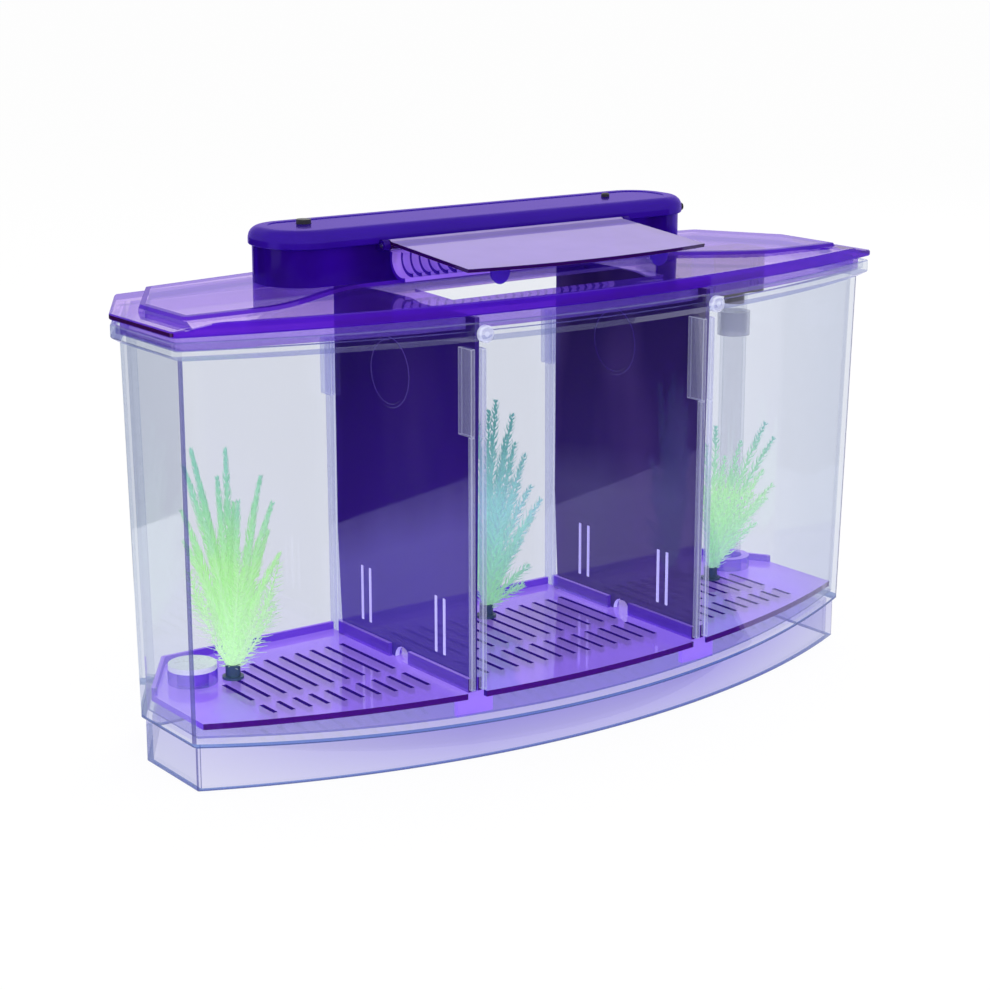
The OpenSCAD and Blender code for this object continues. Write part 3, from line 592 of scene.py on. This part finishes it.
def fold_floor(bm):
    """Both faces of the floor fold along a line across the tank, where it starts to fall."""
    for f in [f for f in bm.faces if len(f.verts) > 4]:
        front = [v for v in f.verts if v.co.y < BEND_Y * MM]
        f.material_index = FOOT
        bmesh.utils.face_split(f, min(front, key=lambda v: v.co.x), max(front, key=lambda v: v.co.x))


def tank_shell():
    outside, inside = tank_rings()
    rings = outside + inside
    corners, ridges = fillet(TANK_LOW, CORNER_R)
    front_ridges = {i for i in ridges if corners[i].y < 0}

    def finish(k, i):
        own = rings[k][1]
        return RIDGE if k < len(outside) and own in (CLEAR, FOOT) and i in front_ridges else own

    bm = bmesh.new()
    skin(bm, [ring for ring, _ in rings], finish)
    fold_floor(bm)
    mats = finishes("clear", "clear_edge", "plinth", "clear_line", "clear_ridge")
    add("tank_shell", bm, mats, "tank", 30, ("tank",))


tank_shell()


def inner_y(x, z, front):
    """Where the inside of the front or back wall is, at a place along the width and a height."""
    ring = [Vector(p) for p in wall_ring(-WALL, z)]
    crossings = [a.y + (b.y - a.y) * (x - a.x) / (b.x - a.x) for a, b in zip(ring, ring[1:] + ring[:1])
                 if (a.x - x) * (b.x - x) <= 0 and a.x != b.x]
    return min(crossings) if front else max(crossings)


def rail(bm, x0, x1, y_free, z0, z1, front):
    """A strip that stands in from the front or back wall to y_free and follows the wall's lean."""
    sink, levels = 0.4, 6
    rings = []
    for i in range(levels + 1):
        z = z0 + (z1 - z0) * i / levels
        w = inner_y((x0 + x1) / 2, z, front) + (-sink if front else sink)
        y0, y1 = sorted((w, y_free))
        rings.append([(x0, y0, z), (x1, y0, z), (x1, y1, z), (x0, y1, z)])
    skin(bm, rings)


RAIL_NEAR, RAIL_FAR = 1.25, 2.85  # a guide rail's two sides, from the middle of its partition
SPINE = 0.9                       # half the width of the strip behind a partition
bm = bmesh.new()
for x in (-PARTITION_X, PARTITION_X):
    for side in (-1, 1):
        a, b = sorted((x + side * RAIL_NEAR, x + side * RAIL_FAR))
        rail(bm, a, b, y_free=-39.5, z0=108, z1=136.5, front=True)
        rail(bm, a, b, y_free=-45.1, z0=23.2, z1=107.9, front=True)
        rail(bm, a, b, y_free=36.5, z0=107.5, z1=128, front=False)
    rail(bm, x - SPINE, x + SPINE, y_free=38, z0=17.2, z1=128, front=False)
# the eased edges of the rails take the white boss finish: painted highlights
add("tank_rails", bm, finishes("rail", "boss_highlight"), "tank", 30, bevel=0.25,
    pick=lambda n, c: 1 if max(abs(n.x), abs(n.y), abs(n.z)) < 0.95 else 0)

BOSS_Z = 141.9
BOSS = ((0.9, -51.6), (2.3, -51.8), (2.8, -51.4), (2.8, -49.9), (2.3, -49.4))  # radius and y, from the front
bm = bmesh.new()
for x in (-PARTITION_X, PARTITION_X):
    rings = [[(x + r * math.cos(a), y, BOSS_Z + r * math.sin(a)) for a in circle(32)] for r, y in BOSS]
    # the front ring is clear and the rest white: the white is a painted highlight
    skin(bm, rings, lambda k, i: 1 if k == 0 else 0)
add("rim_bosses", bm, finishes("boss_highlight", "rail"), "tank", 40)

# ---------------------------------------------------------------- lid
FLANGE_LOW, FLANGE_TOP, MIDDLE_TOP = 147.0, 149.0, 151.5
SKIRT_LOW, SKIRT_T = 142.5, 1.8
LIP_H = 2.2
LIP_END_X, LIP_FADE_X = 146, 16    # the lip runs out toward the ends of the lid
LIP_BACK_Y, LIP_FADE_Y = -24, 5    # and toward its sides
MIDDLE_W, MIDDLE_SIDE_Y, MIDDLE_CUT = 136.0, 12.3, 18
CREST_Y, SWEEP = 5, 22             # the crest in the middle, and how far it comes forward at the ends
SWEEP_X, SWEEP_W = 55, 53          # where it starts to come forward, and over what width
LEDGE_Y, LEDGE_BOW = -21.5, 9.5
LID = plan(half=145, y=-26, depth=22.5, side_y=15, cut_x=18.5, back_y=47.4, crown=6.1)
SKIRT = plan(half=141.8, y=-23.2, depth=22.5, side_y=14, cut_x=17.8, back_y=44.7, crown=0)
MIDDLE_BACK = (42.5, 50)           # rear of the raised middle, at its corners and along its crown
HOLLOW_BACK = (43.0, 43.4)         # rear of its hollow, the same way


def step(t):
    """0 to 1 along a soft step."""
    u = min(max(t, 0), 1)
    return u * u * (3 - 2 * u)


def crest(x):
    """Front edge of the raised middle's top, which sweeps forward at both ends."""
    return CREST_Y - SWEEP * step((abs(x) - SWEEP_X) / SWEEP_W)


def ledge(x):
    """Front edge of the raised middle's foot, bowed like the lid."""
    return LEDGE_Y - LEDGE_BOW * (1 - (x / MIDDLE_W) ** 2)


def middle(front, e, z, back=MIDDLE_BACK):
    """A ring of the raised middle, moved outward by e, with a front edge and a rear."""
    w = MIDDLE_W
    xs = [-w + 2 * w * i / BOW_STEPS for i in range(BOW_STEPS + 1)]
    rear = [(w, MIDDLE_SIDE_Y), (w - MIDDLE_CUT, back[0]), (CROWN_X, back[1])]
    rear += [(-x, y) for x, y in reversed(rear)]
    pts = [Vector((x, front(x))) for x in xs] + [Vector(p) for p in rear]
    return [(p.x, p.y, z) for p in fillet(grow(pts, e), max(0.6, 2.2 + e))[0]]


def lip_ring(e, z, w=0.0):
    """A ring of the flange, raised along the front by the share w of the lip's height."""
    ring = []
    for x, y, _ in flat_ring(LID, e, 0):
        up = step((LIP_END_X + e - abs(x)) / LIP_FADE_X) * step((LIP_BACK_Y - y) / LIP_FADE_Y)
        ring.append((x, y, z + LIP_H * w * up))
    return ring


lid_rings = [
    middle(crest, -2.0, MIDDLE_TOP - 2, HOLLOW_BACK), middle(ledge, -2.0, FLANGE_LOW, HOLLOW_BACK),
    flat_ring(SKIRT, -SKIRT_T, FLANGE_LOW), flat_ring(SKIRT, -SKIRT_T, SKIRT_LOW),
    flat_ring(SKIRT, 0, SKIRT_LOW), flat_ring(SKIRT, 0, FLANGE_LOW),
    lip_ring(-0.4, FLANGE_LOW), lip_ring(0, FLANGE_LOW + 0.4),
    lip_ring(0, FLANGE_TOP - 0.4, 1), lip_ring(-0.4, FLANGE_TOP, 1),
    lip_ring(-1.4, FLANGE_TOP, 1), lip_ring(-1.9, FLANGE_TOP),
    middle(ledge, 0.15, FLANGE_TOP), middle(crest, 0, MIDDLE_TOP - 1.3),
    middle(crest, -0.5, MIDDLE_TOP - 0.2), middle(crest, -2.2, MIDDLE_TOP)]
SHEET, DEEP, END, PALE = range(4)  # finishes of the lid, in the order of its materials
HOLE_X, HOLE_Y = 83, (-38, 35)     # all openings lie inside this
END_X = 143                        # the flange's end faces lie outside this


def lid_face(n, c):
    """The clear sheet, its deep-coloured edges, the dark ends of the flange, and the pale skirt, crease and
    openings."""
    if c.z > MIDDLE_TOP - 0.3 and abs(n.z) < 0.996:
        return DEEP
    if abs(n.z) > 0.8:
        return SHEET
    opening = abs(n.z) < 0.1 and HOLE_Y[0] < c.y < HOLE_Y[1] and abs(c.x) < HOLE_X
    crease = FLANGE_TOP + 0.2 < c.z < FLANGE_TOP + 1.4
    if c.z < FLANGE_LOW - 0.1 or opening or crease:
        return PALE
    return END if abs(n.x) > 0.8 and abs(c.x) > END_X else DEEP


CUT_LOW, CUT_HIGH = 140, 160
FEEDING_HOLE = ((-44, -27.2, CUT_LOW), (44, -5.5, CUT_HIGH))
HOUSING_HOLE = ((-82, 9.5, CUT_LOW), (82, 34.5, CUT_HIGH))
CATCH_X = 33
cuts = [FEEDING_HOLE, HOUSING_HOLE]
cuts += [((x - 4.5, -37.6, CUT_LOW), (x + 4.5, -32.6, CUT_HIGH)) for x in (-CATCH_X, CATCH_X)]
cuts += [((x - 2.2, -60, 141), (x + 2.2, 0, 146.7)) for x in (-PARTITION_X, PARTITION_X)]
bm = bmesh.new()
skin(bm, lid_rings)
add("lid_moulding", bm, finishes("lid", "lid_edge", "lid_end", "lid_skirt"), "lid", 30, ("lid",), lid_face,
    cuts)

# ---------------------------------------------------------------- housing and what it carries
HOUSING_X, HOUSING_Y = 86, 16  # half its width and half its depth
HOUSING_MID = 22               # the place of its middle along the depth
HOUSING_R = 14
CAP_LOW, CAP_TOP = 164.0, 170.0
CAP_EDGE, CAP_R = 1.3, 4.0     # how far the cap stands out, and the rounding of its shoulder


def stadium(e, z):
    """A ring round the housing, moved outward by e."""
    x, y = HOUSING_X + e, HOUSING_Y + e
    pts = [Vector((sx * x, HOUSING_MID + sy * y)) for sx, sy in ((-1, -1), (1, -1), (1, 1), (-1, 1))]
    return [(p.x, p.y, z) for p in fillet(pts, HOUSING_R + e, 10)[0]]


def cap_shoulder(a):
    return stadium(CAP_EDGE - CAP_R + CAP_R * math.cos(a), CAP_TOP - CAP_R + CAP_R * math.sin(a))


cap_rings = [stadium(-0.5, 168.2), stadium(-0.5, CAP_LOW), stadium(CAP_EDGE - 0.3, CAP_LOW),
             stadium(CAP_EDGE, CAP_LOW + 0.3)]
cap_rings += [cap_shoulder(math.radians(9 * i)) for i in range(10)]
cap_rings += [stadium(-2.9, CAP_TOP), stadium(-5.2, CAP_TOP), stadium(-5.5, CAP_TOP - 0.25)]
BUTTON_HOLE = ((-67, 26, CAP_TOP), 2.65, 8)
INDICATOR_HOLE = ((60, 25, CAP_TOP), 1.55, 8)
bm = bmesh.new()
skin(bm, cap_rings)
add("housing_cap_moulding", bm, finishes("cap"), "lid", 30, ("housing_cap",),
    cuts=[BUTTON_HOLE, INDICATOR_HOLE])


def chute_face(n, c):
    """The trough, and the sides of its ribs."""
    return 1 if abs(n.x) > 0.5 else 0


CATCH_BACK, CATCH_TOP = -36, 159.8  # the catches hang in front of this and below this


def flap_face(n, c):
    """The sheet, its edges and its catches."""
    if c.y < CATCH_BACK and c.z < CATCH_TOP:
        return 2
    return 0 if abs(n.z) > 0.7 else 1


dressed("housing_body", finishes("housing"), "lid")
dressed("outlet_chute", finishes("chute", "chute_rib"), "lid", 0, chute_face)
dressed("pump_bracket", finishes("lid_edge"), "lid")
dressed("feeding_flap", finishes("flap", "flap_edge", "flap_tab"), "flap", 0.2, flap_face)


# ---------------------------------------------------------------- partitions and floor plate
SLOTS_Z, SLOTS_Y = (30, 50.5), (-30, 23)  # the water slots lie inside this
ARCH_TOP, ARCH_Y = 26, (-7.7, 1.3)        # the drain arch lies inside this


def divider_face(n, c):
    """Broad faces, outer edges, and the insides of the water slots and the drain arch, which are pale with
    a painted glow.
    """
    if abs(n.x) > 0.5:
        return 0
    in_slot = SLOTS_Z[0] < c.z < SLOTS_Z[1] and SLOTS_Y[0] < c.y < SLOTS_Y[1]
    in_arch = c.z < ARCH_TOP and ARCH_Y[0] < c.y < ARCH_Y[1]
    return 2 if in_slot or in_arch else 1


for side in ("left", "right"):
    dressed("partition_" + side, finishes("divider_" + side, "divider_edge", "divider_slot"),
            "partition_" + side, 0.25, divider_face)

SOCKET = sum(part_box("socket_plug"), Vector()) / 2 / MM
SOCKET_R = 9
FOOT_TOP = 20      # the feet lie below this
SLOT_TOP = 21.3    # a slot's wall has its middle below this
SOCKET_LOW = 22.5  # a socket's wall has its middle above this
SLOTS_X = 115      # the slots lie within this, left and right
PLATE_X, PLATE_SIDE_Y, PLATE_BOW = 136, -20, 29.6  # the bowed front of the plate


def plate_face(n, c):
    """Broad faces and feet, upright walls, the dark front rim, the dark insides of the slots, sockets."""
    if abs(n.z) > 0.7 or c.z < FOOT_TOP:
        return 0
    if c.z > SOCKET_LOW and math.hypot(abs(c.x) + SOCKET.x, c.y - SOCKET.y) < SOCKET_R:
        return 4
    front = PLATE_SIDE_Y - PLATE_BOW * (1 - (c.x / PLATE_X) ** 2)
    if n.y < -0.25 and c.y < front + 2:
        return 2
    return 3 if c.z < SLOT_TOP and abs(c.x) < SLOTS_X else 1


dressed("floor_plate", finishes("plate", "plate_edge", "plate_rim", "plate_slot", "plate_socket"), "plate",
        0, plate_face)


# ---------------------------------------------------------------- plants
def leaf_material(name, low, mid, tip, z0, z1):
    """Soft leaf that takes its colour from its height, lets light through and gives off a painted glow."""
    m = Mat(name)
    height = m.math("MULTIPLY_ADD", m.noise(90), 0.3, m.span(m.axis("Z"), z0 * MM, z1 * MM, 0, 1))
    color = m.ramp(height, [(0.15, low), (0.6, mid), (1.0, tip)])
    # painted glow: the leaves give off light in their own colour, though they are no lamp
    values = {"Base Color": color, "Roughness": 0.4, "Normal": m.bump(m.noise(500, 3), 0.2, 0.0002),
              "Emission Color": color, "Emission Strength": 0.5}
    lit = m.shader("BsdfTranslucent", Color=color)
    return m.done(m.mix(0.45, m.shader("BsdfPrincipled", **values), lit))


def blade(bm, pts, width, side, thick):
    """A narrow pointed leaf along the points, thickest along its rib."""
    rings = []
    last = len(pts) - 1
    for i, p in enumerate(pts):
        t = i / last
        d = (pts[min(i + 1, last)] - pts[max(i - 1, 0)]).normalized()
        s = (side - d * side.dot(d)).normalized()
        up = d.cross(s)
        w = width * (math.sin(math.pi * (t * 0.84 + 0.16)) ** 0.8 + 0.04)
        h = thick * (1 - 0.6 * t)
        rings.append([bm.verts.new((p + v) * MM) for v in (-s * w, up * h, s * w, -up * h)])
    for a, b in zip(rings, rings[1:]):
        for k in range(4):
            bm.faces.new((a[k], a[(k + 1) % 4], b[(k + 1) % 4], b[k]))
    bm.faces.new(rings[0][::-1])
    bm.faces.new(rings[-1])


STEM, STEM_STEPS = 0.42, 17  # half its thickness, and its steps
ROWS = 4                     # leaves round the stem at each place
BARE = 0.06                  # the share of the stem that has no leaves


def strand(bm, base, tip, bow, rnd, leaf, pitch, spread, width):
    """A thin stem with short narrow leaves set round it, pointing up along it."""
    mid = (base + tip) / 2 + bow
    steps = [i / STEM_STEPS for i in range(STEM_STEPS + 1)]
    pts = [base * (1 - t) ** 2 + mid * 2 * t * (1 - t) + tip * t * t for t in steps]
    blade(bm, pts, STEM, Vector((1, 0, 0)), STEM)
    count = int(sum((b - a).length for a, b in zip(pts, pts[1:])) / pitch)
    for i in range(count):
        t = BARE + (1 - BARE) * i / count
        f = t * STEM_STEPS
        k = min(int(f), STEM_STEPS - 1)
        p = pts[k].lerp(pts[k + 1], f - k)
        d = (pts[k + 1] - pts[k]).normalized()
        e = d.cross(Vector((0.3, 1, 0.1))).normalized()
        g = d.cross(e)
        for r in range(ROWS):
            a = 2 * math.pi * (r / ROWS + 0.137 * i) + rnd.uniform(-0.3, 0.3)
            out = e * math.cos(a) + g * math.sin(a)
            size = leaf * (0.5 + 0.75 * math.sin(math.pi * min(1, t * 0.88 + 0.14))) * rnd.uniform(0.8, 1.15)
            q = p + (d * (1 - spread) + out * spread).normalized() * size
            blade(bm, [p, p.lerp(q, 0.5) + out * size * 0.08, q], width, d.cross(out), 0.13)


PLUG_LO, PLUG_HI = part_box("socket_plug")
PLUG_ROOM = 0.8 * MM   # left free round the plug
PLUG_PULL = 17.0 * MM  # the plug's way up, and the length of a leaf


def keep_off_plug(co):
    """Pushes a point of a plant out of the column that the plug is pulled up through."""
    off = Vector((co.x - (PLUG_LO.x + PLUG_HI.x) / 2, co.y - (PLUG_LO.y + PLUG_HI.y) / 2))
    room = (PLUG_HI.x - PLUG_LO.x) / 2 + PLUG_ROOM
    if co.z < PLUG_HI.z + PLUG_PULL and 0 < off.length < room:
        off *= room / off.length - 1
        co.x += off.x
        co.y += off.y


RIGHT = Vector((math.cos(TURN), -math.sin(TURN), 0))
AWAY = Vector((math.sin(TURN), math.cos(TURN), 0))
DEPTH = 1.5     # how much further the bunches reach away from the eye than their tips say
CUP_DEPTH = 2.4


def tuft(name, node, cup, tips, mat, seed, leaf, pitch=1.7, spread=0.42, width=0.4, bow=0.16):
    """A bunch of strands that grow from a cup; each tip is (sideways, away, up) from the stems' foot."""
    rnd = random.Random(seed)
    low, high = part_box(cup)
    base = (low + high) / 2 / MM
    base.z = high[2] / MM - CUP_DEPTH
    bm = bmesh.new()
    for u, d, h in tips:
        start = base + Vector((rnd.uniform(-0.9, 0.9), rnd.uniform(-0.9, 0.9), 0))
        reach = RIGHT * u + AWAY * d * DEPTH
        tip = base + reach + Vector((0, 0, h))
        lean = reach * -bow + Vector((0, 0, h * 0.05))
        strand(bm, start, tip, lean, rnd, leaf, pitch, spread, width)
    for v in bm.verts:
        keep_off_plug(v.co)
    add(name, bm, [mat], "plate", 60, (node,))


lime = leaf_material("leaf_lime", srgb(222, 240, 216), srgb(204, 232, 192), srgb(172, 216, 200), 26, 104)
teal = leaf_material("leaf_teal", srgb(188, 224, 198), srgb(194, 224, 224), srgb(138, 196, 192), 26, 106)
green = leaf_material("leaf_green", srgb(198, 228, 212), srgb(204, 232, 200), srgb(154, 208, 200), 26, 96)

tuft("plant_left_strands", "plant_left", "plant_cup_left",
     [(-12, 2, 75), (-13.5, -3, 71), (-1, 3, 75), (-3, -2, 67), (10.5, 2, 66), (15, -3, 59),
      (-16, 3, 54), (-10, 5, 62), (4, -4, 60), (1, 5, 56), (9, -5, 52), (-14, -5, 47),
      (16, 4, 39), (12, 6, 46), (-7, -5, 54)],
     lime, 3, leaf=4.4, pitch=1.5, spread=0.26)
tuft("plant_left_fronds", "plant_left", "plant_cup_left",
     [(-13, -2, 36), (-12, 5, 40), (-5, 6, 44), (4, -5, 44), (8, 5, 40), (14, -2, 30), (14, 4, 22),
      (-13, 3, 26), (-9, -6, 30), (7, 6, 28), (10, -6, 26), (0, 0, 50), (16, 1, 38)],
     lime, 4, leaf=4.4, pitch=1.9, spread=0.6, width=0.3, bow=-0.3)
tuft("plant_middle_strands", "plant_middle", "plant_cup_middle",
     [(3.5, 0, 78), (9.5, -3, 74), (1, 4, 73), (-3, 2, 70), (10.5, 2, 62), (14, -2, 59), (7, -4, 66),
      (-6, -2, 60), (12, 4, 46), (16, -4, 48), (20, 2, 41), (17, 3, 34), (8, -5, 50), (-9, 3, 46),
      (13, -3, 28), (16, 3, 16), (10, 5, 22), (-8, -3, 30), (5, 4, 40), (14, 0, 10)],
     teal, 5, leaf=4.2)
tuft("plant_right_strands", "plant_right", "plant_cup_right",
     [(19.5, 0, 59), (22.5, -2, 54), (11, 3, 51), (9, -2, 43), (5, 3, 45), (3, -3, 38), (19.5, 2, 40),
      (22.5, -3, 36), (15, -4, 33), (21, 2, 29), (10, 4, 30), (8, -4, 22), (17, 0, 20), (9, 2, 12),
      (13, -3, 24), (1, 2, 57), (-3, -2, 51), (-4, -3, 36), (1, 0, 32)],
     green, 6, leaf=3.8)


# ---------------------------------------------------------------- stage and light, in metres
FLAG_Z = -0.0001  # the flags lie just under the object, and the floor just under them


def stage_floor():
    """White ground that shows bright in the picture, and throws back light as white paint does."""
    bm = bmesh.new()
    bmesh.ops.create_grid(bm, x_segments=1, y_segments=1, size=12)
    me = bpy.data.meshes.new("floor")
    bm.to_mesh(me)
    bm.free()
    floor = bpy.data.objects.new("floor", me)
    floor.location.z = 2 * FLAG_Z
    scene.collection.objects.link(floor)
    m = Mat("floor_white")
    paint = m.shader("BsdfDiffuse", Color=(0.96, 0.96, 0.965, 1))
    bright = m.shader("Emission", Color=WHITE, Strength=1.0)
    me.materials.append(m.done(m.mix(m.math("MULTIPLY", m.in_sight(), 0.92), paint, bright)))


def studio_world():
    """White all round, a little weaker as a light than as a picture."""
    w = Mat("studio", world=True)
    light = w.shader("Background", Color=WHITE, Strength=0.85)
    picture = w.shader("Background", Color=WHITE, Strength=1.0)
    return w.done(w.mix(w.in_sight(), light, picture))


def lamp(name, at, target, size, power):
    """A rectangular lamp that isn't mirrored in the plastic."""
    light = bpy.data.lights.new(name, "AREA")
    light.shape = "RECTANGLE"
    light.size, light.size_y = size
    light.energy = power
    o = bpy.data.objects.new(name, light)
    scene.collection.objects.link(o)
    o.location = at
    aim(o, Vector(target) - Vector(at))
    o.visible_glossy = False


def flag(name, corners):
    """A dark studio flag that lies on the floor and shows only in reflections."""
    bm = bmesh.new()
    bm.faces.new([bm.verts.new((x, y, FLAG_Z)) for x, y in corners])
    me = bpy.data.meshes.new(name)
    bm.to_mesh(me)
    bm.free()
    o = bpy.data.objects.new(name, me)
    scene.collection.objects.link(o)
    m = Mat(name)
    me.materials.append(m.done(m.shader("Emission", Color=(0.04, 0.04, 0.044, 1))))
    o.visible_camera = o.visible_diffuse = o.visible_transmission = o.visible_shadow = False


stage_floor()
scene.world = studio_world()
lamp("key", (-0.5, -0.8, 1.3), (0, 0, 0.08), (1.0, 1.0), 6)
lamp("fill", (-0.7, -1.0, 0.4), (0, 0, 0.07), (1.0, 0.6), 6)
lamp("rim", (0.9, 0.5, 0.9), (0, 0, 0.08), (0.8, 0.8), 4)
flag("flag_back", [(-2.5, 1.046), (-0.05, 0.191), (-0.05, 2.5), (-2.5, 2.5)])
flag("flag_front", [(-2.5, -2.5), (3.17, -2.5), (0.12, -0.06), (-2.5, -0.06)])
